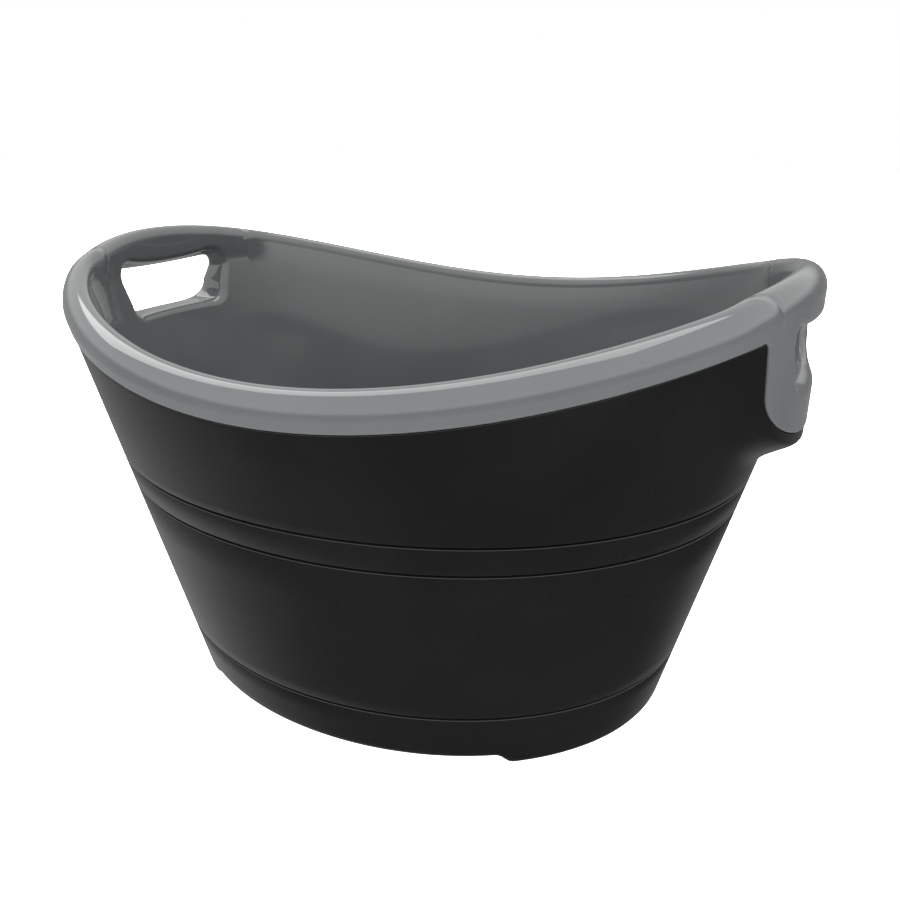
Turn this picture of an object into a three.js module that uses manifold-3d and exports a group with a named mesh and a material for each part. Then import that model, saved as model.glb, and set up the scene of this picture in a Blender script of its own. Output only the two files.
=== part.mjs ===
// Oval double-walled tub with a rolled saddle rim and a hand-hole at each end.
// Millimetres, +Z up, +X along the length, origin at the middle of the resting plane.
import * as THREE from 'three';
import { mergeVertices } from 'three/addons/utils/BufferGeometryUtils.js';
import Module from 'manifold-3d';

const wasm = await Module();
wasm.setup();

// Flared oval wall, measured on its outer face at the resting plane
const baseHalfLength = 172;
const baseHalfWidth = 145;
const flareLong = 0.256;
const flareWide = 0.269;
const wallThickness = 18;
const innerDraft = 0.06;
const innerDepth = 115;
const innerBend = 20;
const gap = 0.3;

// Rolled rim
const crownLow = 247;
const crownRise = 47;
const crownHeight = 13;
const crownOutward = 11.9;
const crownInwardDrop = 8;
const rimHeight = 19.6;
const skirtProud = 0.8;
const skirtThickness = 2.6;
const linerThickness = 3;

// Upright end faces that carry the hand-holes
const endFace = 240;
const endFadeStart = 84;
const endFadeEnd = 112;
const bossBeside = 0.2;
const bossUnder = 0.77;
const bossMargin = 0.22;
const tongueHalfAngle = 23.2;
const tongueBottom = 205;
const tongueShoulder = 240;

// Outer shell
const shellThickness = 3.2;
const shellUpperThickness = 5.6;
const grooveHeights = [43, 150, 168];
const grooveDepth = 2;
const grooveHalfWidth = 2.2;
const footHeight = 7.5;
const footWidth = 26;
const footHalfAngle = 50;
const footRamp = 4;
const footSlope = 8;
const baseRound = 6;

// Liner floor and the heights of the extra rows on its wall
const floorTop = 26;
const floorRadius = 30;
const middleRow = 150;
const underRim = 12;

// Hand-hole, half widths and heights on the end face
const holeBottom = 233;
const holeBottomRise = 2;
const holeTopInner = 268.5;
const holeTopOuter = 266;
const holeTopRise = 4;
const holeHalfBottom = 50;
const holeHalfTop = 56;
const holeCornerWidth = 13;
const holeCornerHeight = 12;
const sleeveThickness = 8;
const gripHalfWidth = 77;
const gripShoulder = 262;
const shoulderBend = 7;

// Foam filling plug in the base
const plugRadius = 17;
const plugFlange = 21;
const plugFlangeThickness = 1.8;

const foamGap = 0.8;
const foamBelowRim = 19;

const degrees = Math.PI / 180;
// Height above which the shell carries the bosses, and half the height of its change of thickness
const rowStart = 180;
const rowStep = 4;
// Height at which the flared wall meets the upright end faces, and their half width there
const flushHeight = (endFace - baseHalfLength) / flareLong;
const endFaceHalfWidth = baseHalfWidth + flareWide * flushHeight;

function clamp01(value) {
  return Math.min(1, Math.max(0, value));
}

function smooth(low, high, value) {
  const s = clamp01((value - low) / (high - low));
  return s * s * (3 - 2 * s);
}

// Angle away from the nearer end, in degrees, 0 to 90
function endAngle(t) {
  return Math.acos(Math.min(1, Math.abs(Math.cos(t)))) / degrees;
}

function crownZ(t) {
  return crownLow + crownRise * Math.cos(t) ** 2;
}

// Lower edge of the rim skirt: level below the crown, dropping to a tongue at each end
function skirtLowZ(t) {
  const u = endAngle(t) / tongueHalfAngle;
  if (u >= 1) {
    return crownZ(t) - rimHeight;
  }
  return tongueShoulder - (tongueShoulder - tongueBottom) * Math.sqrt(1 - u * u);
}

// How far the boss is raised, 0 to 1: fully behind the tongue, blending out beside and under it
function bossMask(t, z) {
  const side = endAngle(t) / tongueHalfAngle;
  const below = Math.max(0, (tongueShoulder - z) / (tongueShoulder - tongueBottom));
  const q = Math.hypot(side, below);
  if (q <= 1) {
    return 1;
  }
  const reach = (bossBeside * side ** 2 + bossUnder * below ** 2) / q ** 2;
  const past = clamp01(((q - 1) / reach - bossMargin) / (1 - bossMargin));
  return (1 - past) ** 4 * (1 + 4 * past);
}

// A point on the wall at angle t and height z, off millimetres outside its outer face
function wallPoint(t, z, off, withBoss = false) {
  const a = baseHalfLength + flareLong * z;
  const b = baseHalfWidth + flareWide * z;
  const nx = Math.cos(t) / a;
  const ny = Math.sin(t) / b;
  const n = Math.hypot(nx, ny);
  const y = b * Math.sin(t);
  const inFace = Math.min(1, Math.abs(y) / endFaceHalfWidth);
  const toFace = endFace * Math.sqrt(1 - inFace * inFace) - a * Math.abs(Math.cos(t));
  let shift = 0;
  if (toFace < 0) {
    shift = toFace * (1 - smooth(endFadeStart, endFadeEnd, Math.abs(y)));
  } else if (withBoss) {
    shift = toFace * bossMask(t, z);
  }
  const x = a * Math.cos(t) + shift * Math.sign(Math.cos(t));
  return new THREE.Vector3(x + off * nx / n, y + off * ny / n, z);
}

// Depth below the rim, rounded off over its first millimetres
function easedDepth(below) {
  if (below < innerBend) {
    return Math.max(0, below) ** 2 / (2 * innerBend);
  }
  return below - innerBend / 2;
}

// Offset of the liner's inner face: under the rim it stands steeper than the shell's outer face,
// and from innerDepth down it runs parallel to it
function innerOff(t, z) {
  const below = crownZ(t) - crownInwardDrop - z;
  return -wallThickness + innerDraft * (easedDepth(below) - easedDepth(below - innerDepth));
}

// A point of the rim roll: outward distance from the wall at the roll's middle height
function crownPoint(t, out, up) {
  const middle = crownZ(t) - crownHeight;
  const point = wallPoint(t, middle, out, true);
  point.z += up;
  return point;
}

// The outer side of the roll, from its middle height at 0 degrees to its peak at 90
function crownOuter(t, turns) {
  const top = skirtProud - crownOutward;
  return turns.map((turn) => {
    const a = turn * degrees;
    return crownPoint(t, top + crownOutward * Math.cos(a), crownHeight * Math.sin(a));
  });
}

// The inner side of the roll, from its peak at 0 degrees to the inner wall at 90
function crownInner(t, turns) {
  const peak = crownPoint(t, skirtProud - crownOutward, crownHeight);
  const inner = wallPoint(t, crownZ(t) - crownInwardDrop, -wallThickness);
  return turns.map((turn) => {
    const a = turn * degrees;
    const point = inner.clone().lerp(peak, 1 - Math.sin(a));
    point.z = inner.z + crownInwardDrop * Math.cos(a);
    return point;
  });
}

// Angles round the oval, closer together beside the tongues
function roundAngles() {
  const bossEnd = tongueHalfAngle * (1 + bossBeside);
  const quarter = [0, 6, 12, 16.5, 20, 22.3, tongueHalfAngle + 0.1, bossEnd, 34, 42];
  quarter.push(footHalfAngle, footHalfAngle + footRamp, 66, 78, 90);
  const all = [];
  for (const angle of quarter) {
    all.push(angle, 180 - angle, 180 + angle, 360 - angle);
  }
  const unique = [...new Set(all.map((angle) => angle % 360))];
  return unique.sort((p, q) => p - q).map((angle) => angle * degrees);
}

function toGeometry(positions, triangles) {
  const geometry = new THREE.BufferGeometry();
  geometry.setAttribute('position', new THREE.Float32BufferAttribute(positions, 3));
  geometry.setIndex(triangles);
  return geometry;
}

// Rings of points, one for each angle; first and last points of a ring may lie on the axis
function loftRound(rings, onAxis) {
  const positions = [];
  const triangles = [];
  const rows = rings[0].length;
  const count = rings.length;
  for (const ring of rings) {
    for (const point of ring) {
      positions.push(point.x, point.y, point.z);
    }
  }
  const index = (i, j) => {
    if (onAxis && (j === 0 || j === rows - 1)) {
      return j;
    }
    return (i % count) * rows + (j % rows);
  };
  const last = onAxis ? rows - 1 : rows;
  for (let i = 0; i < count; i += 1) {
    for (let j = 0; j < last; j += 1) {
      const a = index(i, j);
      const b = index(i + 1, j);
      const c = index(i + 1, j + 1);
      const d = index(i, j + 1);
      if (a !== b) {
        triangles.push(a, b, c);
      }
      if (c !== d) {
        triangles.push(a, c, d);
      }
    }
  }
  return toGeometry(positions, triangles);
}

// A run of closed sections with a fan over each end
function loftRun(sections) {
  const positions = [];
  const triangles = [];
  const rows = sections[0].length;
  for (const section of sections) {
    for (const point of section) {
      positions.push(point.x, point.y, point.z);
    }
  }
  for (let i = 0; i + 1 < sections.length; i += 1) {
    for (let j = 0; j < rows; j += 1) {
      const k = (j + 1) % rows;
      triangles.push(i * rows + j, (i + 1) * rows + j, (i + 1) * rows + k);
      triangles.push(i * rows + j, (i + 1) * rows + k, i * rows + k);
    }
  }
  const caps = [[0, false], [sections.length - 1, true]];
  for (const [at, flip] of caps) {
    const middle = new THREE.Vector3();
    for (const point of sections[at]) {
      middle.addScaledVector(point, 1 / rows);
    }
    const centre = positions.length / 3;
    positions.push(middle.x, middle.y, middle.z);
    for (let j = 0; j < rows; j += 1) {
      const k = (j + 1) % rows;
      const pair = flip ? [k, j] : [j, k];
      triangles.push(centre, at * rows + pair[0], at * rows + pair[1]);
    }
  }
  return toGeometry(positions, triangles);
}

function toSolid(geometry) {
  const bare = geometry.clone();
  bare.deleteAttribute('normal');
  bare.deleteAttribute('uv');
  const merged = mergeVertices(bare, 1e-4);
  const solid = new wasm.Manifold(new wasm.Mesh({
    numProp: 3,
    vertProperties: new Float32Array(merged.attributes.position.array),
    triVerts: new Uint32Array(merged.index.array),
  }));
  return solid;
}

function fromSolid(solid) {
  const mesh = solid.getMesh();
  const geometry = toGeometry(Array.from(mesh.vertProperties), Array.from(mesh.triVerts));
  geometry.computeVertexNormals();
  return geometry;
}

// Outer shell: foot arcs, base band, grooves, end bosses and a rebated top edge
function footDrop(t) {
  return footHeight * smooth(footHalfAngle, footHalfAngle + footRamp, endAngle(t));
}

function shellRing(t) {
  const foot = footDrop(t);
  const step = skirtLowZ(t) - gap;
  const top = crownZ(t) - crownHeight;
  const ring = [new THREE.Vector3(0, 0, footHeight)];
  ring.push(wallPoint(t, footHeight, -footWidth - footSlope));
  ring.push(wallPoint(t, foot, -footWidth));
  for (const turn of [0, 45, 90]) {
    const a = turn * degrees;
    ring.push(wallPoint(t, foot + baseRound * (1 - Math.cos(a)), -baseRound * (1 - Math.sin(a))));
  }
  for (const height of grooveHeights) {
    ring.push(wallPoint(t, height - grooveHalfWidth, 0));
    ring.push(wallPoint(t, height, -grooveDepth));
    ring.push(wallPoint(t, height + grooveHalfWidth, 0));
  }
  for (const part of [0, 0.3, 0.5, 0.7, 0.85, 1]) {
    ring.push(wallPoint(t, rowStart + (step - rowStart) * part, 0, true));
  }
  const rebate = skirtProud - skirtThickness - gap;
  ring.push(wallPoint(t, step, rebate, true));
  for (const part of [0.3, 0.65, 1]) {
    ring.push(wallPoint(t, step + (top - step) * part, rebate, true));
  }
  ring.push(wallPoint(t, top, -shellUpperThickness));
  ring.push(wallPoint(t, Math.min(top - 2, flushHeight), -shellUpperThickness));
  ring.push(wallPoint(t, rowStart + rowStep, -shellUpperThickness));
  ring.push(wallPoint(t, rowStart - rowStep, -shellThickness));
  ring.push(wallPoint(t, footHeight + baseRound, -shellThickness));
  ring.push(wallPoint(t, footHeight + shellThickness, -shellThickness - baseRound / 2));
  ring.push(new THREE.Vector3(0, 0, footHeight + shellThickness));
  return ring;
}

// The rounded corner between floor and wall, from the wall down, beneath millimetres under it
function floorCorner(t, beneath) {
  const radius = floorRadius + beneath;
  return [90, 60, 30, 0].map((angle) => {
    const a = angle * degrees;
    const z = floorTop + floorRadius - radius * Math.cos(a);
    return wallPoint(t, z, innerOff(t, z) - floorRadius + radius * Math.sin(a));
  });
}

// Grey liner: floor, inner wall, rolled rim, outer skirt and end tongues
function linerRing(t) {
  const low = skirtLowZ(t);
  const middle = crownZ(t) - crownHeight;
  const wall = (z, behind) => wallPoint(t, z, innerOff(t, z) + behind);
  const ring = [new THREE.Vector3(0, 0, floorTop)];
  ring.push(...floorCorner(t, 0).reverse());
  ring.push(wall(middleRow, 0));
  ring.push(wall(middle - underRim, 0));
  ring.push(...crownInner(t, [90, 60, 35]));
  ring.push(...crownOuter(t, [90, 65, 45, 25, 8]));
  for (const part of [0, 0.4, 0.75, 1]) {
    ring.push(wallPoint(t, middle + (low - middle) * part, skirtProud, true));
  }
  const inside = skirtProud - skirtThickness;
  for (const part of [1, 0.75, 0.4, 0]) {
    ring.push(wallPoint(t, middle + (low - middle) * part, inside, true));
  }
  const under = crownHeight - linerThickness;
  ring.push(crownPoint(t, inside - 3, under * 0.75));
  ring.push(crownPoint(t, skirtProud - crownOutward, under));
  ring.push(wall(middle, linerThickness));
  ring.push(wall(middle - underRim, linerThickness));
  ring.push(wall(middleRow, linerThickness));
  ring.push(...floorCorner(t, linerThickness));
  ring.push(new THREE.Vector3(0, 0, floorTop - linerThickness));
  return ring;
}

// Foam between the two walls and under the floor
function foamRing(t) {
  const top = Math.min(crownZ(t) - foamBelowRim, flushHeight - foamGap * 4);
  const behind = linerThickness + foamGap;
  const outer = -shellUpperThickness - foamGap;
  const bottom = footHeight + shellThickness + foamGap;
  return [
    new THREE.Vector3(0, 0, bottom),
    wallPoint(t, bottom, -shellThickness - baseRound),
    wallPoint(t, bottom + baseRound, -shellThickness - foamGap),
    wallPoint(t, rowStart - rowStep - foamGap, -shellThickness - foamGap),
    wallPoint(t, rowStart + rowStep, outer),
    wallPoint(t, top, outer),
    wallPoint(t, top, innerOff(t, top) + behind),
    wallPoint(t, middleRow, innerOff(t, middleRow) + behind),
    ...floorCorner(t, behind),
    new THREE.Vector3(0, 0, floorTop - linerThickness - foamGap),
  ];
}

// The lower side of the hand-hole and its two lower corners' right half, grown outward by margin
function lowerHole(margin) {
  const shape = new THREE.Shape();
  const low = holeBottom - margin;
  const side = low + holeBottomRise;
  const half = holeHalfBottom + margin;
  shape.moveTo(0, low);
  shape.quadraticCurveTo(half * 0.5, low, half - holeCornerWidth, side);
  shape.quadraticCurveTo(half - 2, side + 1.5, half, side + holeCornerHeight);
  return shape;
}

function bothHalves(shape) {
  const right = shape.getPoints(4);
  const left = right.filter((point) => point.x > 0).reverse();
  return right.concat(left.map((point) => new THREE.Vector2(-point.x, point.y)));
}

// Outline of the hand-hole on the end face, as [y, z] pairs
function holeOutline(top) {
  const shape = lowerHole(0);
  const side = top + holeTopRise;
  shape.lineTo(holeHalfTop, side - holeCornerHeight);
  shape.quadraticCurveTo(holeHalfTop, side, holeHalfTop - holeCornerHeight, side - 1);
  shape.quadraticCurveTo(holeHalfTop * 0.4, top, 0, top);
  return bothHalves(shape);
}

// Outline of the whole grip insert: the ring round the hole, then the bar between the seams
function gripOutline(margin) {
  const shape = lowerHole(sleeveThickness + margin);
  const half = gripHalfWidth + margin;
  const shoulder = gripShoulder - margin;
  shape.quadraticCurveTo(holeHalfTop + sleeveThickness + margin, shoulder - shoulderBend, half, shoulder);
  shape.lineTo(half, crownLow + crownRise + crownHeight);
  return bothHalves(shape);
}

// A closed prism between an outline at xNear and one at xFar, both as [y, z] pairs
function prismBetween(near, xNear, far, xFar) {
  const count = near.length;
  const positions = [];
  for (const point of near) {
    positions.push(xNear, point.x, point.y);
  }
  for (const point of far) {
    positions.push(xFar, point.x, point.y);
  }
  const triangles = [];
  for (let i = 0; i < count; i += 1) {
    const k = (i + 1) % count;
    triangles.push(i, k, count + k);
    triangles.push(i, count + k, count + i);
  }
  for (const [a, b, c] of THREE.ShapeUtils.triangulateShape(near, [])) {
    triangles.push(a, c, b);
    triangles.push(count + a, count + b, count + c);
  }
  const geometry = toGeometry(positions, triangles);
  const solid = toSolid(geometry);
  return solid.volume() < 0 ? toSolid(flipped(geometry)) : solid;
}

function flipped(geometry) {
  const turned = geometry.clone();
  const order = turned.index.array;
  for (let i = 0; i < order.length; i += 3) {
    const keep = order[i + 1];
    order[i + 1] = order[i + 2];
    order[i + 2] = keep;
  }
  return turned;
}

// The full thickness of the wall and rim at the +X end
const blockSteps = 6;

function endBlock() {
  const sections = [];
  const bottom = holeBottom - sleeveThickness * 1.5;
  for (let i = -blockSteps; i <= blockSteps; i += 1) {
    const t = tongueHalfAngle * degrees * i / blockSteps;
    const middle = crownZ(t) - crownHeight;
    const section = crownOuter(t, [0, 25, 45, 65, 90]).concat(crownInner(t, [35, 60, 90]));
    for (const part of [0.25, 1]) {
      const z = middle + (bottom - middle) * part;
      section.push(wallPoint(t, z, innerOff(t, z)));
    }
    for (const part of [1, 0.65, 0.3]) {
      section.push(wallPoint(t, middle + (bottom - middle) * part, skirtProud, true));
    }
    sections.push(section);
  }
  return sections;
}

function outward(geometry) {
  const solid = toSolid(geometry);
  return solid.volume() < 0 ? toSolid(flipped(geometry)) : solid;
}

const angles = roundAngles();
// The prisms run from inside the tub to clear of its end
const xInside = 180;
const xOutside = 262;
const opening = prismBetween(gripOutline(gap), xInside, gripOutline(gap), xOutside);
const openings = opening.add(opening.rotate([0, 0, 180]));

function plainCylinder(radius, height, z) {
  const geometry = new THREE.CylinderGeometry(radius, radius, height, 28);
  geometry.rotateX(Math.PI / 2);
  geometry.translate(0, 0, z + height / 2);
  return toSolid(geometry);
}

function makeShell() {
  const blank = outward(loftRound(angles.map(shellRing), true));
  const plugHole = plainCylinder(plugRadius + gap, shellThickness * 3, footHeight - shellThickness);
  return blank.subtract(openings).subtract(plugHole);
}

function makeLiner() {
  return outward(loftRound(angles.map(linerRing), true)).subtract(openings);
}

function makeFoam() {
  const room = plainCylinder(plugFlange, 8, footHeight);
  return outward(loftRound(angles.map(foamRing), true)).subtract(openings).subtract(room);
}

function makeGrip() {
  const block = outward(loftRun(endBlock()));
  const outline = prismBetween(gripOutline(0), xInside, gripOutline(0), xOutside);
  const slope = (holeTopInner - holeTopOuter) / wallThickness;
  const nearTop = holeTopOuter + slope * (endFace - xInside);
  const farTop = holeTopOuter - slope * (xOutside - endFace);
  const hole = prismBetween(holeOutline(nearTop), xInside, holeOutline(farTop), xOutside);
  return block.intersect(outline).subtract(hole);
}

function makePlug() {
  const shank = plainCylinder(plugRadius, shellThickness + 2, footHeight - gap * 2);
  const flange = plainCylinder(plugFlange, plugFlangeThickness, footHeight - plugFlangeThickness - gap);
  return shank.add(flange);
}

const blackPlastic = { color: 0x17171a, roughness: 0.32, metalness: 0 };
const greyPlastic = { color: 0x7c8184, roughness: 0.28, metalness: 0 };
const foamMaterial = { color: 0xe8e2c8, roughness: 0.95, metalness: 0 };

const tub = new THREE.Group();

function addPiece(name, solid, material) {
  const mesh = new THREE.Mesh(fromSolid(solid), new THREE.MeshStandardMaterial(material));
  mesh.name = name;
  tub.add(mesh);
  return mesh;
}

const grip = makeGrip();
addPiece('outer_shell', makeShell(), blackPlastic);
addPiece('inner_liner', makeLiner(), greyPlastic);
addPiece('right_grip', grip, greyPlastic);
addPiece('left_grip', grip.rotate([0, 0, 180]), greyPlastic);
addPiece('foam_core', makeFoam(), foamMaterial);
addPiece('foam_fill_plug', makePlug(), blackPlastic);

export default tub;
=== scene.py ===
import math

import bmesh
import bpy
from mathutils import Matrix, Vector


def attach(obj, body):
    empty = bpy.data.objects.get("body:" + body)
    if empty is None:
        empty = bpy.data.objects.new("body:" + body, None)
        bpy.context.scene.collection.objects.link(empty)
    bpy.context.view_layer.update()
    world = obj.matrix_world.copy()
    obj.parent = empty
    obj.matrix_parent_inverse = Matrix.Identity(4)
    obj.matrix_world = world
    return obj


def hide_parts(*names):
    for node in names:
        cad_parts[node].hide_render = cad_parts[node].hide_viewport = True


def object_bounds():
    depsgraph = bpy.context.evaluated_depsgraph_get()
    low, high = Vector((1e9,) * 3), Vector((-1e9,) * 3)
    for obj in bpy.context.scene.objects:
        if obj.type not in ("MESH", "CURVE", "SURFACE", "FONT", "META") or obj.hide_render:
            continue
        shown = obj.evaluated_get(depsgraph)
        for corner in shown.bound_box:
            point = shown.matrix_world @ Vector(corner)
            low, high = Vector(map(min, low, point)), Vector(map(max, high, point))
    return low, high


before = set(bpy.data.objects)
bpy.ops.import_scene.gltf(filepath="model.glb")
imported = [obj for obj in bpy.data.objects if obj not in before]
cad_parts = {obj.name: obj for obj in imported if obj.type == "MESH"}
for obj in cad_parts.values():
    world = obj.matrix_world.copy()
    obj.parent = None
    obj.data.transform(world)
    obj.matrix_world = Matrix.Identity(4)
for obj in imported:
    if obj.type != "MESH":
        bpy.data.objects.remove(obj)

cadLow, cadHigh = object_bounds()
print("frame loaded:", ", ".join(sorted(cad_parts)))

# The flared oval wall, its rolled rim and its upright end faces, in metres
tubForm = {
    "baseHalfLength": 0.172,
    "flareLong": 0.256,
    "flareWide": 0.269,
    "wallThickness": 0.018,
    "innerBend": 0.02,
    "innerDraft": 0.06,
    "innerDepth": 0.115,
    "skirtProud": 0.0008,
    "crownRise": 0.047,
    "crownHeight": 0.013,
    "crownOutward": 0.0119,
    "crownInwardDrop": 0.008,
    "crownTurns": (0, 8, 18, 30, 42, 54, 66, 78, 90, 105, 120, 135, 150, 165, 180),
    "rimHeight": 0.0196,
    "endFadeStart": 0.084,
    "endFadeEnd": 0.112,
    "bossBeside": 0.20,
    "bossUnder": 0.77,
    "bossMargin": 0.22,
    "tongueHalfAngle": math.radians(23.2),
    "tongueBottom": 0.205,
    "tongueShoulder": 0.240,
    "tongueCorner": 0.004,
    "tongueUnderTurn": 70,
    "tongueSideSteps": 3,
    "seamHalfWidth": 0.077,
}
endFace = cadHigh.x - tubForm["skirtProud"]
crownMiddleLow = cadHigh.z - tubForm["crownRise"] - tubForm["crownHeight"]
baseHalfWidth = cadHigh.y - tubForm["skirtProud"] - tubForm["flareWide"] * crownMiddleLow
flushHeight = (endFace - tubForm["baseHalfLength"]) / tubForm["flareLong"]
endFaceHalfWidth = baseHalfWidth + tubForm["flareWide"] * flushHeight
proud = tubForm["skirtProud"]
angleRounds = 6  # enough for angleAt to settle


def mix(a, b, share):
    return a + (b - a) * share


def smoothStep(low, high, value):
    s = min(1, max(0, (value - low) / (high - low)))
    return s * s * (3 - 2 * s)


def crownZ(t):
    return cadHigh.z - tubForm["crownRise"] * math.sin(t) ** 2


def crownMiddle(t):
    return crownZ(t) - tubForm["crownHeight"]


def innerTop(t):
    return crownZ(t) - tubForm["crownInwardDrop"]


# How far the end boss is raised: fully behind the tongue, blending out beside and under it
def bossMask(t, z):
    f = tubForm
    side = abs(t) / f["tongueHalfAngle"]
    below = max(0, (f["tongueShoulder"] - z) / (f["tongueShoulder"] - f["tongueBottom"]))
    q = math.hypot(side, below)
    if q <= 1:
        return 1
    reach = (f["bossBeside"] * side ** 2 + f["bossUnder"] * below ** 2) / q ** 2
    past = min(1, max(0, ((q - 1) / reach - f["bossMargin"]) / (1 - f["bossMargin"])))
    return (1 - past) ** 4 * (1 + 4 * past)


# A point of the wall in the +X +Y quarter: angle t, height z, off metres outside the outer face
def wallPoint(t, z, off, withBoss=False):
    a = tubForm["baseHalfLength"] + tubForm["flareLong"] * z
    b = baseHalfWidth + tubForm["flareWide"] * z
    nx, ny = math.cos(t) / a, math.sin(t) / b
    n = math.hypot(nx, ny)
    y = b * math.sin(t)
    inFace = min(1, abs(y) / endFaceHalfWidth)
    toFace = endFace * math.sqrt(1 - inFace * inFace) - a * abs(math.cos(t))
    shift = 0
    if toFace < 0:
        shift = toFace * (1 - smoothStep(tubForm["endFadeStart"], tubForm["endFadeEnd"], abs(y)))
    elif withBoss:
        shift = toFace * bossMask(t, z)
    return Vector((a * math.cos(t) + shift + off * nx / n, y + off * ny / n, z))


# Offset of the outer face, in the same form as innerOff
def outerOff(t, z):
    return proud


# Depth below the rim, rounded off over its first stretch
def easedDepth(below):
    bend = tubForm["innerBend"]
    return max(0, below) ** 2 / (2 * bend) if below < bend else below - bend / 2


# Under the rim the liner's wall stands steeper than the shell's; lower down it runs parallel to it
def innerOff(t, z):
    below = innerTop(t) - z
    ramp = easedDepth(below) - easedDepth(below - tubForm["innerDepth"])
    return tubForm["innerDraft"] * ramp - tubForm["wallThickness"]


# The angle at which the wall moved out by off has the width y at height z
def angleAt(y, z, off):
    b = baseHalfWidth + tubForm["flareWide"] * z
    a = tubForm["baseHalfLength"] + tubForm["flareLong"] * z
    t = math.asin(min(1, y / b))
    for _ in range(angleRounds):
        nx, ny = math.cos(t) / a, math.sin(t) / b
        t = math.asin(min(1, (y - off * ny / math.hypot(nx, ny)) / b))
    return t


# The rim roll at a column: angle on its outer side, angle on its inner side, and turn over the top
def crownPoint(tOuter, tInner, turn):
    top = proud - tubForm["crownOutward"]
    if turn <= 90:
        a = math.radians(turn)
        out = top + tubForm["crownOutward"] * math.cos(a)
        t = mix(tOuter, tInner, (proud - out) / (proud + tubForm["wallThickness"]))
        point = wallPoint(t, crownMiddle(t), out, True)
        point.z += tubForm["crownHeight"] * math.sin(a)
        return point
    a = math.radians(180 - turn)
    peak = crownPoint(tOuter, tInner, 90)
    inner = wallPoint(tInner, innerTop(tInner), -tubForm["wallThickness"])
    point = inner.lerp(peak, 1 - math.cos(a))
    point.z = mix(inner.z, peak.z, math.sin(a))
    return point


# Points of a curve bent towards a control point, after the one at share low up to share high
def curve(start, control, end, count, low=0, high=1):
    points = []
    for i in range(1, count + 1):
        s = mix(low, high, i / count)
        a = Vector(start).lerp(Vector(control), s)
        points.append(a.lerp(Vector(control).lerp(Vector(end), s), s))
    return points


# The hand-hole and the insert round it, in metres on the end face: what its outlines share comes first
handHole = {
    "bottom": 0.2335,
    "bottomRise": 0.001,
    "halfBottom": 0.050,
    "halfTop": 0.056,
    "bottomBend": 0.5,
    "topBend": 0.4,
    "softIn": 0.001,
    "softUp": 0.0006,
    "softOut": 0.0005,
    "cornerGrowth": 0.6,
    "ring": 0.008,
    "shoulder": 0.262,
    "shoulderDrop": 0.007,
    "shoulderOut": 0.004,
    "thickness": 0.0022,
    "faceRows": 8,
    "filletTurn": 10,
    "tunnelRows": 6,
}
outerHole = {
    "top": 0.2655,
    "topRise": 0.003,
    "cornerWide": 0.024,
    "cornerHigh": 0.014,
    "cornerTop": 0.010,
    "fillet": 0.0066,
}
innerHole = {
    "top": 0.2685,
    "topRise": 0.005,
    "cornerWide": 0.010,
    "cornerHigh": 0.010,
    "cornerTop": 0.014,
    "fillet": 0.0045,
}
seam = {"halfWidth": 0.0003, "depth": 0.0003, "nearHeight": 0.28, "nearAngle": 0.1}
holeSteps = [14, 8, 8, 9, 22]  # bottom, lower corner, side, upper corner, top
cornerSteps = 7


# Half of the hand-hole's outline from its bottom middle to its top middle, grown by margin
def holeHalf(side, margin):
    h = handHole
    low, high = h["bottom"] - margin, side["top"] + margin
    lowSide, highSide = low + h["bottomRise"], high + side["topRise"]
    halfLow, halfHigh = h["halfBottom"] + margin, h["halfTop"] + margin
    grown = margin * h["cornerGrowth"]
    wide, rise, upper = side["cornerWide"] + grown, side["cornerHigh"] + grown, side["cornerTop"] + grown
    points = [Vector((0, low))]
    points += curve((0, low), (halfLow * h["bottomBend"], low),
                    (halfLow - wide, lowSide - h["softUp"]), holeSteps[0])
    points += curve(points[-1], (halfLow - h["softIn"], lowSide + h["softUp"]),
                    (halfLow, lowSide + rise), holeSteps[1])
    sideTop = Vector((halfHigh, highSide - upper))
    points += curve(points[-1], points[-1].lerp(sideTop, 0.5), sideTop, holeSteps[2])
    corner = (points[-1], (halfHigh + h["softOut"], highSide), (halfHigh - upper, highSide - h["softIn"]))
    points += curve(*corner, holeSteps[3], 0, 0.5)
    points += curve(*corner, cornerSteps, 0.5, 1)
    points += curve(points[-1], (halfHigh * h["topBend"], high), (0, high), holeSteps[4] - cornerSteps)
    return points


# Half of the insert's outline in step with the hole's, as (angle, height) on the face at off
def insertHalf(off, top):
    h = handHole
    ring = holeHalf(innerHole, h["ring"])
    count = holeSteps[0] + holeSteps[1]
    points = ring[:count + 1]
    half = tubForm["seamHalfWidth"]
    points += curve(points[-1], (h["halfTop"] + h["shoulderOut"], h["shoulder"] - h["shoulderDrop"]),
                    (half, h["shoulder"]), holeSteps[2])
    seamT = angleAt(half, top(angleAt(half, seam["nearHeight"], off)), off)
    seamTop = Vector((half, top(seamT)))
    points += curve(points[-1], points[-1].lerp(seamTop, 0.5), seamTop, holeSteps[3])
    flat = [Vector((angleAt(p.x, p.y, off), p.y)) for p in points]
    lastStep = holeSteps[4] - 1
    widths = [half - seam["halfWidth"]] + [half * (1 - i / lastStep) for i in range(1, lastStep + 1)]
    for width in widths:
        t = angleAt(width, top(seam["nearAngle"]), off)
        flat.append(Vector((t, top(t))))
    return flat


seamIndex = sum(holeSteps[:4])
outerInsert = insertHalf(proud, crownMiddle)
innerInsert = insertHalf(-tubForm["wallThickness"], innerTop)

# Columns from the seam to the middle of the long side
longSteps = 64
longOuter, longInner = [], []
for i in range(longSteps + 1):
    share = i / longSteps if i != 1 else seam["halfWidth"] / cadHigh.y
    longOuter.append(mix(outerInsert[seamIndex].x, math.pi / 2, share))
    longInner.append(mix(innerInsert[seamIndex].x, math.pi / 2, share))


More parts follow.
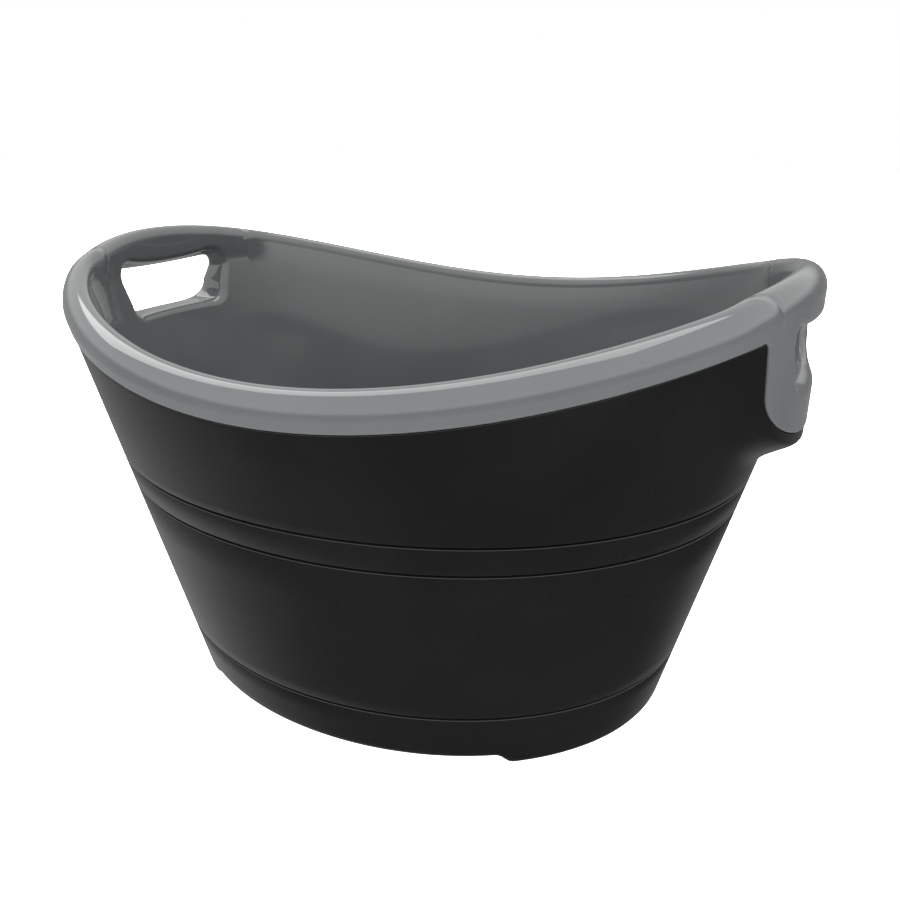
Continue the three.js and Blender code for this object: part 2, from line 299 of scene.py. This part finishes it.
# Adds rows of points as quads; part marks the piece, thick the wall there and sink a groove's depth
def grid(bm, rows, closed=False, part=0, thick=None, sink=None):
    partMark = bm.faces.layers.int["part"]
    thickMark = bm.verts.layers.float["thick"]
    sinkMark = bm.verts.layers.float["sink"]
    made = []
    for j, row in enumerate(rows):
        line = []
        for i, point in enumerate(row):
            v = bm.verts.new(point)
            v[thickMark] = thick[j] if thick else 0
            v[sinkMark] = sink(j, i) if sink else 0
            line.append(v)
        made.append(line)
    for a, b in zip(made, made[1:]):
        count = len(a)
        for i in range(count if closed else count - 1):
            k = (i + 1) % count
            bm.faces.new((a[i], a[k], b[k], b[i]))[partMark] = part
    return made


def newSheet():
    bm = bmesh.new()
    bm.faces.layers.int.new("part")
    bm.verts.layers.float.new("thick")
    bm.verts.layers.float.new("sink")
    return bm


# A quarter row made into a whole ring by mirroring
def wholeRing(row):
    back = [Vector((-p.x, p.y, p.z)) for p in reversed(row[:-1])]
    far = [Vector((-p.x, -p.y, p.z)) for p in row[1:]]
    front = [Vector((p.x, -p.y, p.z)) for p in reversed(row[1:-1])]
    return row + back + far + front


# A row from the seam to the middle of the long side made into the long arc from seam to seam
def longArc(row, side):
    return [Vector((p.x, side * p.y, p.z)) for p in row] + \
        [Vector((-p.x, side * p.y, p.z)) for p in reversed(row[:-1])]


weldDistance = 0.000002


# Closes a ring with a fan of triangles round a point on the middle line
def fanMiddle(bm, ring, z, thick=0):
    middle = bm.verts.new((0, 0, z))
    middle[bm.verts.layers.float["thick"]] = thick
    for i, v in enumerate(ring):
        bm.faces.new((middle, v, ring[(i + 1) % len(ring)]))


# Welds the rows and turns every face the way that the one nearest to probe should look
def faceOutward(bm, probe, direction):
    bmesh.ops.remove_doubles(bm, verts=bm.verts, dist=weldDistance)
    bmesh.ops.recalc_face_normals(bm, faces=bm.faces)
    nearest = min(bm.faces, key=lambda f: (f.calc_center_median() - Vector(probe)).length)
    if nearest.normal.dot(Vector(direction)) < 0:
        bmesh.ops.reverse_faces(bm, faces=bm.faces)
    bm.normal_update()


def addObject(name, mesh):
    piece = bpy.data.objects.new(name, mesh)
    bpy.context.scene.collection.objects.link(piece)
    print(name, len(mesh.vertices), "points")
    return piece


# One closed piece from the sheet's faces of one part: the face, its back and the walls along its border
def closedPiece(name, bm, part):
    partMark = bm.faces.layers.int["part"]
    thickMark = bm.verts.layers.float["thick"]
    front = [f for f in bm.faces if f[partMark] == part]
    number = {}
    for f in front:
        for v in f.verts:
            number.setdefault(v, len(number))
    count = len(number)
    places = [v.co.copy() for v in number]
    places += [v.co - v.normal * v[thickMark] for v in number]
    faces, normals = [], []
    for f in front:
        faces.append([number[v] for v in f.verts])
        normals += [v.normal.copy() for v in f.verts]
    for f in front:
        faces.append([number[v] + count for v in reversed(f.verts)])
        normals += [-v.normal for v in reversed(f.verts)]
    for f in front:
        for loop in f.loops:
            if sum(other[partMark] == part for other in loop.edge.link_faces) == 1:
                a, b = number[loop.vert], number[loop.link_loop_next.vert]
                faces.append([b, a, a + count, b + count])
                across = (places[a] - places[b]).cross(places[a + count] - places[a])
                normals += [across.normalized()] * 4
    mesh = bpy.data.meshes.new(name)
    mesh.from_pydata(places, [], faces)
    mesh.shade_smooth()
    mesh.normals_split_custom_set(normals)
    return addObject(name, mesh)


# A value read off straight lines between stops
def spread(stops, at):
    for (a, low), (b, high) in zip(stops, stops[1:]):
        if at <= b:
            return mix(low, high, (at - a) / (b - a))
    return stops[-1][1]


# Each point part of the way from one row to the other
def pairs(low, high, share):
    return [a.lerp(b, share) for a, b in zip(low, high)]


# Lower edge of the rim: the tongue at the end, its inner corner, then the level skirt
def edgeHalf():
    f = tubForm
    half = f["tongueHalfAngle"]
    drop = f["tongueShoulder"] - f["tongueBottom"]
    perMetre = 1 / (endFaceHalfWidth * math.cos(half))
    points = []
    under = f["tongueUnderTurn"]
    bottomSteps = holeSteps[0] + holeSteps[1]
    for i in range(bottomSteps + 1):
        a = math.radians(under) * i / bottomSteps
        points.append(Vector((half * math.sin(a), f["tongueShoulder"] - drop * math.cos(a))))
    for i in range(1, holeSteps[2] + 1):
        a = math.radians(mix(under, 90, i / holeSteps[2]))
        points.append(Vector((half * math.sin(a), f["tongueShoulder"] - drop * math.cos(a))))
    sideSteps = f["tongueSideSteps"]
    turnSteps = holeSteps[3] - sideSteps
    cornerT = half + f["tongueCorner"] * perMetre
    cornerZ = crownZ(cornerT) - f["rimHeight"]
    for i in range(1, sideSteps + 1):
        points.append(Vector((half, mix(f["tongueShoulder"], cornerZ - f["tongueCorner"], i / sideSteps))))
    for i in range(1, turnSteps + 1):
        a = math.radians(90) * i / turnSteps
        points.append(Vector((half + (cornerT - half) * (1 - math.cos(a)),
                              cornerZ - f["tongueCorner"] * (1 - math.sin(a)))))
    for i in range(1, longSteps + 1):
        t = mix(cornerT, math.pi / 2, i / longSteps)
        points.append(Vector((t, crownZ(t) - f["rimHeight"])))
    return points


edge = edgeHalf()

# Grey liner: floor, wall, rim, skirt and the two end tongues
linerForm = {
    "thickness": 0.0026,
    "floorTop": 0.026,
    "floorRadius": 0.030,
    "levelRow": 0.190,
    "levelStops": (0.081, 0.096),
    "lip": 0.0013,
    "lipBack": 0.9,
    "lipTurns": (15, 30, 45, 60, 75, 90),
    "floorShares": (0.25, 0.5, 0.75, 0.92),
    "floorTurn": 9,
    "wallRows": 12,
    "upperRows": 14,
    "skirtRows": 9,
}


# Rows of a strip between two edges, with one row close to its low side for the seam groove
def stripShares(low, high, count, close):
    shares = [None] + [i / count for i in range(1, count + 1)]
    rows = [low]
    for share in shares:
        row = []
        for a, b in zip(low, high):
            length = math.hypot((a.x - b.x) * endFace, a.y - b.y)
            row.append(a.lerp(b, close / length if share is None else mix(close / length, 1, share)))
        rows.append(row)
    return rows


def seamSink(k):
    first = seamIndex - holeSteps[3]
    return seam["depth"] * smoothStep(0, 1, (k - first) / holeSteps[3]) if first < k <= seamIndex else 0


def addLiner(bm):
    f = linerForm
    upper = innerInsert[:seamIndex + 1] + [Vector((t, innerTop(t))) for t in longInner[1:]]
    levelOff = innerOff(0, f["levelRow"])
    stops = [(0, 0), (seamIndex - holeSteps[3], angleAt(f["levelStops"][0], f["levelRow"], levelOff)),
             (seamIndex, angleAt(f["levelStops"][1], f["levelRow"], levelOff)),
             (seamIndex + longSteps, math.pi / 2)]
    level = [Vector((spread(stops, i), f["levelRow"])) for i in range(len(upper))]
    rows = []
    floorRim = [wallPoint(v.x, f["floorTop"], innerOff(v.x, f["floorTop"]) - f["floorRadius"])
                for v in level]
    for share in f["floorShares"]:
        rows.append([Vector((p.x * share, p.y * share, f["floorTop"])) for p in floorRim])
    for turn in range(0, 91, f["floorTurn"]):
        a = math.radians(turn)
        z = f["floorTop"] + f["floorRadius"] * (1 - math.cos(a))
        inward = f["floorRadius"] * (1 - math.sin(a))
        rows.append([wallPoint(v.x, z, innerOff(v.x, z) - inward) for v in level])
    wallLow = f["floorTop"] + f["floorRadius"]
    for i in range(1, f["wallRows"] + 1):
        z = mix(wallLow, f["levelRow"], i / f["wallRows"])
        rows.append([wallPoint(v.x, z, innerOff(v.x, z)) for v in level])
    for row in reversed(stripShares(upper, level, f["upperRows"], seam["halfWidth"])[:-1]):
        rows.append([wallPoint(v.x, v.y, innerOff(v.x, v.y)) for v in row])
    last = len(rows) - 1
    quarter = len(level) - 1

    def ringSink(j, i):
        k = i % (2 * quarter)
        return seamSink(min(k, 2 * quarter - k)) if j == last else 0

    made = grid(bm, [wholeRing(r) for r in rows], True, linerPart, [f["thickness"]] * len(rows), ringSink)
    fanMiddle(bm, made[0], f["floorTop"], f["thickness"])
    crownRows = [[crownPoint(a, b, turn) for a, b in zip(longOuter, longInner)]
                 for turn in tubForm["crownTurns"]]
    for side in (1, -1):
        grid(bm, [longArc(r, side) for r in crownRows], False, linerPart, [f["thickness"]] * len(crownRows),
             lambda j, i: seam["depth"] if i in (0, 2 * longSteps) else 0)
    top = outerInsert[:seamIndex + 1] + [Vector((t, crownMiddle(t))) for t in longOuter[1:]]
    body = []
    for u, v in zip(top, edge):
        length = math.hypot((u.x - v.x) * endFace, u.y - v.y)
        body.append(v.lerp(u, f["lip"] / length))
    skirtRows = [[wallPoint(v.x, v.y, proud, True) for v in row]
                 for row in stripShares(top, body, f["skirtRows"], seam["halfWidth"])]
    thick = [f["thickness"]] * len(skirtRows)
    for turn in f["lipTurns"]:
        a = math.radians(turn)
        row = [wallPoint(v.x, v.y, proud - f["lip"] * (1 - math.cos(a)), True)
               for v in pairs(body, edge, math.sin(a))]
        skirtRows.append(row)
        thick.append(mix(f["thickness"], f["lip"] * f["lipBack"], turn / 90))
    grid(bm, [wholeRing(r) for r in skirtRows], True, linerPart, thick,
         lambda j, i: ringSink(last, i) if j == 0 else 0)


# Grey insert at an end: the grip bar, the hand-hole's rounded edges and its tunnel
def addGrip(bm, end, part):
    h = handHole

    def bothHalves(row):
        points = row + [Vector((p.x, -p.y, p.z)) for p in reversed(row[1:-1])]
        return [Vector((end * p.x, p.y, p.z)) for p in points]

    def faceRows(insert, side, offAt, inward, withBoss):
        rows = []
        radius = side["fillet"]
        start = [Vector((angleAt(p.x, p.y, offAt(0, p.y)), p.y)) for p in holeHalf(side, radius)]
        for row in stripShares(insert, start, h["faceRows"], seam["halfWidth"])[:-1]:
            rows.append([wallPoint(v.x, v.y, offAt(v.x, v.y), withBoss) for v in row])
        for turn in range(90, -1, -h["filletTurn"]):
            a = math.radians(turn)
            row = []
            for p in holeHalf(side, radius * (1 - math.cos(a))):
                deep = offAt(angleAt(p.x, p.y, 0), p.y) + inward * radius * (1 - math.sin(a))
                row.append(wallPoint(angleAt(p.x, p.y, deep), p.y, deep, withBoss))
            rows.append(row)
        return rows

    outer = faceRows(outerInsert, outerHole, outerOff, -1, True)
    inner = faceRows(innerInsert, innerHole, innerOff, 1, False)
    rows = list(outer)
    for i in range(1, h["tunnelRows"]):
        rows.append(pairs(outer[-1], inner[-1], i / h["tunnelRows"]))
    rows += reversed(inner)
    last = len(rows) - 1
    half = len(outer[0]) - 1

    def ringSink(j, i):
        return seamSink(min(i, 2 * half - i)) if j in (0, last) else 0

    grid(bm, [bothHalves(r) for r in rows], True, part, [h["thickness"]] * len(rows), ringSink)
    columns = list(zip(outerInsert[seamIndex:], innerInsert[seamIndex:]))
    crownRows = []
    for turn in tubForm["crownTurns"]:
        row = [crownPoint(a.x, b.x, turn) for a, b in columns]
        row += [Vector((p.x, -p.y, p.z)) for p in reversed(row[:-1])]
        crownRows.append([Vector((end * p.x, p.y, p.z)) for p in row])
    ends = (0, 2 * (len(columns) - 1))
    grid(bm, crownRows, False, part, [h["thickness"]] * len(crownRows),
         lambda j, i: seam["depth"] if i in ends else 0)


# Black shell: feet, base band, grooves, end bosses and the edge under the rim
shellForm = {
    "thickness": 0.0032,
    "grooves": [0.043, 0.150, 0.168],
    "grooveDepth": 0.0020,
    "grooveHalfWidth": 0.0013,
    "footHeight": 0.0075,
    "footWidth": 0.026,
    "footHalfAngle": math.radians(50),
    "footRamp": math.radians(4),
    "footSlope": 0.006,
    "footShares": (0.15, 0.5, 0.85, 1),
    "baseShares": (0.3, 0.6, 0.9, 1),
    "baseRound": 0.006,
    "baseTurn": 15,
    "baseInset": 0.012,
    "wallHeights": (0.020, 0.030, 0.052, 0.075, 0.100, 0.125, 0.159, 0.174),
    "grooveRows": 6,
    "levelRow": 0.178,
    "endReach": math.radians(29),
    "upperRows": 30,
    "edgeTurns": (22, 45, 68, 90),
    "gap": 0.0004,
    "edgeRound": 0.0007,
    "rebate": 0.0026,
    "tuckDip": 0.224,
    "tuckFrom": math.radians(16),
    "tuckTo": math.radians(22),
    "tuckMargin": 0.002,
    "backHeights": (0.184, 0.100, 0.020),
}


# A run of (angle, height) points moved sideways by a distance on the wall
def besideEdge(points, distance):
    moved = []
    for i, p in enumerate(points):
        a, b = points[max(0, i - 1)], points[min(len(points) - 1, i + 1)]
        along = Vector(((b.x - a.x) * endFace, b.y - a.y)).normalized()
        moved.append(Vector((p.x + distance * along.y / endFace, p.y - distance * along.x)))
    return moved


def makeShell():
    f = shellForm
    bm = newSheet()
    step = besideEdge(edge, f["gap"])
    inside = besideEdge(step, f["edgeRound"])
    reach = f["endReach"]
    level = []
    for i in range(len(step)):
        if i <= seamIndex:
            t = reach * i / seamIndex
        else:
            t = mix(reach, math.pi / 2, (i - seamIndex) / longSteps)
        level.append(t)
    foot = [f["footHeight"] * smoothStep(f["footHalfAngle"], f["footHalfAngle"] + f["footRamp"], t)
            for t in level]
    rows = []
    panel = [wallPoint(t, f["footHeight"], -f["footWidth"] - f["footSlope"]) for t in level]
    for share in f["baseShares"]:
        rows.append([Vector((p.x * share, p.y * share, f["footHeight"])) for p in panel])
    for share in f["footShares"]:
        off = -f["footWidth"] - f["footSlope"] * (1 - share)
        rows.append([wallPoint(t, mix(f["footHeight"], z, smoothStep(0, 1, share)), off)
                     for t, z in zip(level, foot)])
    rows.append([wallPoint(t, z, -f["footWidth"] / 2) for t, z in zip(level, foot)])
    for turn in range(0, 91, f["baseTurn"]):
        a = math.radians(turn)
        up, back = f["baseRound"] * (1 - math.cos(a)), f["baseRound"] * (1 - math.sin(a))
        rows.append([wallPoint(t, z + up, -back) for t, z in zip(level, foot)])
    heights = list(f["wallHeights"]) + [f["levelRow"]]
    count = f["grooveRows"]
    for middle in f["grooves"]:
        heights += [middle + f["grooveHalfWidth"] * i / count for i in range(-count, count + 1)]
    for z in sorted(heights):
        near = min(abs(z - g) for g in f["grooves"]) / f["grooveHalfWidth"]
        off = -f["grooveDepth"] * math.cos(min(1, near) * math.pi / 2) ** 2
        rows.append([wallPoint(t, z, off) for t in level])
    low = [Vector((t, f["levelRow"])) for t in level]
    for i in range(1, f["upperRows"] + 1):
        rows.append([wallPoint(v.x, v.y, 0, True) for v in pairs(low, inside, i / f["upperRows"])])
    for turn in f["edgeTurns"]:
        a = math.radians(turn)
        rows.append([wallPoint(v.x, v.y, -f["edgeRound"] * (1 - math.cos(a)), True)
                     for v in pairs(inside, step, math.sin(a))])
    rows.append([wallPoint(v.x, v.y, -f["rebate"], True) for v in step])
    tuck = []
    for v in step:
        lift = smoothStep(f["tuckFrom"], f["tuckTo"], v.x)
        high = mix(f["tuckDip"], crownMiddle(v.x) - f["tuckMargin"], lift)
        tuck.append(Vector((v.x, max(high, v.y + f["tuckMargin"]))))
    for share in [0.5, 1]:
        rows.append([wallPoint(v.x, v.y, -f["rebate"], True) for v in pairs(step, tuck, share)])
    back = -f["rebate"] - f["thickness"]
    for share in [0, 0.5, 1]:
        rows.append([wallPoint(v.x, v.y, back, True) for v in pairs(tuck, step, share)])
    for z in f["backHeights"]:
        rows.append([wallPoint(t, z, -f["thickness"]) for t in level])
    panelTop = f["footHeight"] + f["thickness"]
    panel = [wallPoint(t, f["footHeight"], -f["baseInset"]) for t in level]
    for share in [1, 0.5]:
        rows.append([Vector((p.x * share, p.y * share, panelTop)) for p in panel])
    made = grid(bm, [wholeRing(r) for r in rows], True)
    fanMiddle(bm, made[0], f["footHeight"])
    fanMiddle(bm, made[-1], panelTop)
    faceOutward(bm, (0, 0, f["footHeight"]), (0, 0, -1))
    mesh = bpy.data.meshes.new("shell")
    bm.to_mesh(mesh)
    bm.free()
    mesh.shade_smooth()
    return addObject("shell", mesh)


linerPart, rightPart, leftPart = 0, 1, 2
sheet = newSheet()
addLiner(sheet)
addGrip(sheet, 1, rightPart)
addGrip(sheet, -1, leftPart)
faceOutward(sheet, (0, 0, linerForm["floorTop"]), (0, 0, 1))
sinkMark = sheet.verts.layers.float["sink"]
for v in sheet.verts:
    v.co -= v.normal * v[sinkMark]
sheet.normal_update()
liner = closedPiece("liner_and_rim", sheet, linerPart)
rightGrip = closedPiece("grip_right", sheet, rightPart)
leftGrip = closedPiece("grip_left", sheet, leftPart)
sheet.free()
shell = makeShell()
for piece, node, slotName in [
    (shell, "outer_shell", "black_shell"),
    (liner, "inner_liner", "grey_liner"),
    (rightGrip, "right_grip", "grey_grip"),
    (leftGrip, "left_grip", "grey_grip"),
]:
    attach(piece, "root")
    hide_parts(node)


# A node socket that can be used in sums; node() makes any other node in the same tree
class Shade:
    def __init__(self, tree, socket=None):
        self.tree = tree
        self.socket = socket

    def node(self, kind, settings=None, inputs=None, output=0):
        made = self.tree.nodes.new(kind)
        for key, value in (settings or {}).items():
            setattr(made, key, value)
        for key, value in (inputs or {}).items():
            if isinstance(value, Shade):
                self.tree.links.new(value.socket, made.inputs[key])
            else:
                made.inputs[key].default_value = value
        return Shade(self.tree, made.outputs[output])

    def calc(self, operation, first, second):
        return self.node("ShaderNodeMath", {"operation": operation}, {0: first, 1: second})

    def __add__(self, other):
        return self.calc("ADD", self, other)

    def __sub__(self, other):
        return self.calc("SUBTRACT", self, other)

    def __rsub__(self, other):
        return self.calc("SUBTRACT", other, self)

    def __mul__(self, other):
        return self.calc("MULTIPLY", self, other)

    __radd__ = __add__
    __rmul__ = __mul__

    # 0 below low, 1 above high
    def between(self, low, high, kind="SMOOTHSTEP"):
        return self.node("ShaderNodeMapRange", {"interpolation_type": kind},
                         {"Value": self, "From Min": low, "From Max": high})

    # A colour between two, by this value
    def blend(self, a, b):
        return self.node("ShaderNodeMix", {"data_type": "RGBA"}, {0: self, 6: a, 7: b}, 2)

    def noise(self, place, scale, detail):
        return self.node("ShaderNodeTexNoise", None, {"Vector": place, "Scale": scale, "Detail": detail})

    # A bump whose height is in units of distance, in metres
    def bump(self, height, distance=1, strength=1):
        return self.node("ShaderNodeBump", None,
                         {"Strength": strength, "Distance": distance, "Height": height})


def newMaterial(name, colour, sockets):
    material = bpy.data.materials.new(name)
    material.use_nodes = True
    material.diffuse_color = colour
    shader = material.node_tree.nodes["Principled BSDF"]
    shade = Shade(material.node_tree)
    place = shade.node("ShaderNodeTexCoord", None, None, "Object")
    for key, value in sockets(shade, place).items():
        if isinstance(value, Shade):
            material.node_tree.links.new(value.socket, shader.inputs[key])
        else:
            shader.inputs[key].default_value = value
    return material


# What both plastics share: soft clouds in the colour, and edges worn paler in broken patches
plasticLook = {
    "cloud": (0.3, 0.7),
    "cloudDetail": 4,
    "patch": (0.35, 0.7),
    "patchDetail": 4,
    "grainDetail": 2,
    "waveDetail": 1,
}


def plasticClouds(shade, place, k):
    return shade.noise(place, k["cloudScale"], plasticLook["cloudDetail"])


def plasticColour(clouds, k):
    return clouds.between(*plasticLook["cloud"]).blend(k["colour"], k["paler"])


def plasticWear(shade, place, k):
    bend = shade.node("ShaderNodeNewGeometry", None, None, "Pointiness")
    patches = shade.noise(place, k["wornScale"], plasticLook["patchDetail"])
    return bend.between(*k["wornBend"]) * patches.between(*plasticLook["patch"])


def plasticBump(shade, place, k):
    grain = shade.noise(place, k["grainScale"], plasticLook["grainDetail"])
    wave = shade.noise(place, k["waveScale"], plasticLook["waveDetail"])
    return shade.bump(grain * k["grainDepth"] + wave * k["waveDepth"])


# Satin black moulded plastic: fine spark grain, soft cloudy gloss, scuffed where it stands
blackLook = {
    "colour": (0.0040, 0.0040, 0.0043, 1),
    "paler": (0.0056, 0.0056, 0.0060, 1),
    "edge": (0.020, 0.020, 0.022, 1),
    "roughness": 0.27,
    "roughnessCloud": 0.09,
    "cloudScale": 9,
    "grainScale": 1500,
    "grainDepth": 0.000006,
    "waveScale": 26,
    "waveDepth": 0.00002,
    "wornBend": (0.56, 0.66),
    "wornScale": 70,
    "wornPaler": 0.6,
    "wornRough": 0.15,
    "scuffHeight": (0.003, 0.016),
    "scuffPatch": (0.5, 0.8),
    "scuffScale": 160,
    "scuffDetail": 5,
    "scuffPaler": 0.5,
    "scuffRough": 0.12,
}


def blackSockets(shade, place):
    k = blackLook
    clouds = plasticClouds(shade, place, k)
    worn = plasticWear(shade, place, k)
    height = shade.node("ShaderNodeSeparateXYZ", None, {0: place}, 2)
    patches = shade.noise(place, k["scuffScale"], k["scuffDetail"]).between(*k["scuffPatch"])
    scuff = (1 - height.between(*k["scuffHeight"])) * patches
    paler = worn * k["wornPaler"] + scuff * k["scuffPaler"]
    rough = (clouds - 0.5) * k["roughnessCloud"] + worn * k["wornRough"] + scuff * k["scuffRough"]
    return {
        "Base Color": paler.blend(plasticColour(clouds, k), k["edge"]),
        "Roughness": rough + k["roughness"],
        "Normal": plasticBump(shade, place, k),
    }


# Glossy grey moulded plastic: almost mirror-smooth with a slight orange peel
greyLook = {
    "colour": (0.0730, 0.0770, 0.0785, 1),
    "paler": (0.0805, 0.0850, 0.0868, 1),
    "edge": (0.13, 0.137, 0.14, 1),
    "roughness": 0.075,
    "roughnessCloud": 0.05,
    "cloudScale": 12,
    "grainScale": 220,
    "grainDepth": 0.000001,
    "waveScale": 22,
    "waveDepth": 0.00004,
    "wornBend": (0.54, 0.62),
    "wornScale": 60,
    "wornPaler": 0.3,
    "wornRough": 0.08,
}


def greySockets(shade, place):
    k = greyLook
    clouds = plasticClouds(shade, place, k)
    worn = plasticWear(shade, place, k)
    paler = worn * k["wornPaler"]
    rough = (clouds - 0.5) * k["roughnessCloud"] + worn * k["wornRough"]
    return {
        "Base Color": paler.blend(plasticColour(clouds, k), k["edge"]),
        "Roughness": rough + k["roughness"],
        "Normal": plasticBump(shade, place, k),
    }


# Rigid cream foam with open cells, seen only when the tub is taken apart
foamLook = {
    "colour": (0.62, 0.54, 0.34, 1),
    "paler": (0.78, 0.72, 0.52, 1),
    "cloudScale": 20,
    "cloudDetail": 4,
    "cellScale": 900,
    "cellDepth": 0.0004,
    "cellStrength": 0.6,
    "roughness": 0.85,
    "roughnessCells": 0.1,
}


def foamSockets(shade, place):
    k = foamLook
    cells = shade.node("ShaderNodeTexVoronoi", None, {"Vector": place, "Scale": k["cellScale"]})
    clouds = shade.noise(place, k["cloudScale"], k["cloudDetail"])
    return {
        "Base Color": clouds.blend(k["colour"], k["paler"]),
        "Roughness": (cells - 0.5) * k["roughnessCells"] + k["roughness"],
        "Normal": shade.bump(cells, k["cellDepth"], k["cellStrength"]),
    }


blackPlastic = newMaterial("black_plastic", blackLook["colour"], blackSockets)
greyPlastic = newMaterial("grey_plastic", greyLook["colour"], greySockets)
creamFoam = newMaterial("cream_foam", foamLook["colour"], foamSockets)
shell.data.materials.append(blackPlastic)
for piece in (liner, rightGrip, leftGrip):
    piece.data.materials.append(greyPlastic)
for node, material in (("foam_core", creamFoam), ("foam_fill_plug", blackPlastic)):
    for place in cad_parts[node].material_slots:
        place.material = material
print("finishes made")

# White floor and backdrop for the eye; the gloss sees a dark floor, a bright sky and one long strip
studio = {
    "floorSize": 12.0,
    "floorColour": (0.82, 0.82, 0.82, 1),
    "floorGlow": 1.7,
    "wallHeight": 14.0,
    "wallGlow": 1.0,
    "matt": 0.9,
    "skyRise": (0.08, 0.34),
    "skyFront": 2.1,
    "skyBack": 1.1,
    "back": (-0.42, 0.91, 0.0),
    "backTurn": (-0.4, 0.8),
    "lowLight": 0.04,
    "lowLeft": 0.32,
    "lowSteep": 0.6,
    "steepTurn": (-0.65, -0.35),
    "left": (-0.75, 0.66, 0.0),
    "leftTurn": (0, 0.9),
}
strip = {"at": (-0.75, 0.38, 1.6), "size": (2.5, 1.0), "power": 27}


# A stage piece that glows white and is hidden from glossy rays
def addStage(name, points, faces, glow, colour):
    mesh = bpy.data.meshes.new(name)
    mesh.from_pydata(points, [], faces)
    made = bpy.data.objects.new(name, mesh)
    bpy.context.scene.collection.objects.link(made)
    mesh.materials.append(newMaterial(name, colour, lambda shade, place: {
        "Base Color": colour, "Roughness": studio["matt"], "Specular IOR Level": 0.0,
        "Emission Color": (1, 1, 1, 1), "Emission Strength": glow}))
    made.visible_glossy = False
    return made


# The light that the gloss sees: a bright sky above, and below the horizon only the left side lit
def makeWorld():
    k = studio
    world = bpy.data.worlds.new("studio")
    world.use_nodes = True
    bpy.context.scene.world = world
    shade = Shade(world.node_tree)
    direction = shade.node("ShaderNodeTexCoord", None, None, "Generated")
    height = shade.node("ShaderNodeSeparateXYZ", None, {0: direction}, 2)

    def towards(way):
        return shade.node("ShaderNodeVectorMath", {"operation": "DOT_PRODUCT"},
                          {0: direction, 1: way}, "Value")

    sky = k["skyFront"] - towards(k["back"]).between(*k["backTurn"]) * (k["skyFront"] - k["skyBack"])
    steep = 1 + (1 - height.between(*k["steepTurn"])) * k["lowSteep"]
    low = k["lowLight"] + towards(k["left"]).between(*k["leftTurn"], "LINEAR") * k["lowLeft"] * steep
    above = height.between(*k["skyRise"])
    strength = above * sky + (1 - above) * low
    glow = world.node_tree.nodes["Background"]
    glow.inputs["Color"].default_value = (1, 1, 1, 1)
    world.node_tree.links.new(strength.socket, glow.inputs["Strength"])


def makeStrip():
    light = bpy.data.lights.new("strip", "AREA")
    light.shape = "RECTANGLE"
    light.size, light.size_y = strip["size"]
    light.energy = strip["power"]
    lamp = bpy.data.objects.new("strip", light)
    bpy.context.scene.collection.objects.link(lamp)
    lamp.location = strip["at"]


def makeFloorAndBackdrop():
    k = studio
    side = k["floorSize"]
    corners = [(-side, -side), (side, -side), (side, side), (-side, side)]
    floorPoints = [(x, y, 0) for x, y in corners]
    addStage("floor", floorPoints, [(0, 1, 2, 3)], k["floorGlow"], k["floorColour"])
    wallPoints = floorPoints + [(x, y, k["wallHeight"]) for x, y in corners]
    walls = [(i, (i + 1) % 4, (i + 1) % 4 + 4, i + 4) for i in range(4)] + [(4, 5, 6, 7)]
    backdrop = addStage("backdrop", wallPoints, walls, k["wallGlow"], (0, 0, 0, 1))
    backdrop.visible_diffuse = False
    backdrop.visible_shadow = False


makeFloorAndBackdrop()
makeWorld()
makeStrip()
print("studio lit")

cameraSetup = {
    "azimuth": 25.366,
    "elevation": 19.427,
    "distance": 0.6149,
    "target": (0, 0, 0.153),
    "lens": 34.77,
    "shift": (0.0241, -0.0047),
    "roll": 0.27,
    "sensor": 36,
    "clip": (0.01, 50),
}


def makeCamera():
    c = cameraSetup
    a, e = math.radians(c["azimuth"]), math.radians(c["elevation"])
    back = Vector((math.sin(a) * math.cos(e), -math.cos(a) * math.cos(e), math.sin(e)))
    data = bpy.data.cameras.new("camera")
    data.sensor_width = c["sensor"]
    data.lens = c["lens"]
    data.shift_x, data.shift_y = c["shift"]
    data.clip_start, data.clip_end = c["clip"]
    camera = bpy.data.objects.new("camera", data)
    bpy.context.scene.collection.objects.link(camera)
    facing = (-back).to_track_quat("-Z", "Y").to_matrix().to_4x4()
    roll = Matrix.Rotation(math.radians(c["roll"]), 4, "Z")
    camera.matrix_world = Matrix.Translation(Vector(c["target"]) + back * c["distance"]) @ facing @ roll
    bpy.context.scene.camera = camera


makeCamera()
bpy.context.scene.view_settings.view_transform = "Standard"
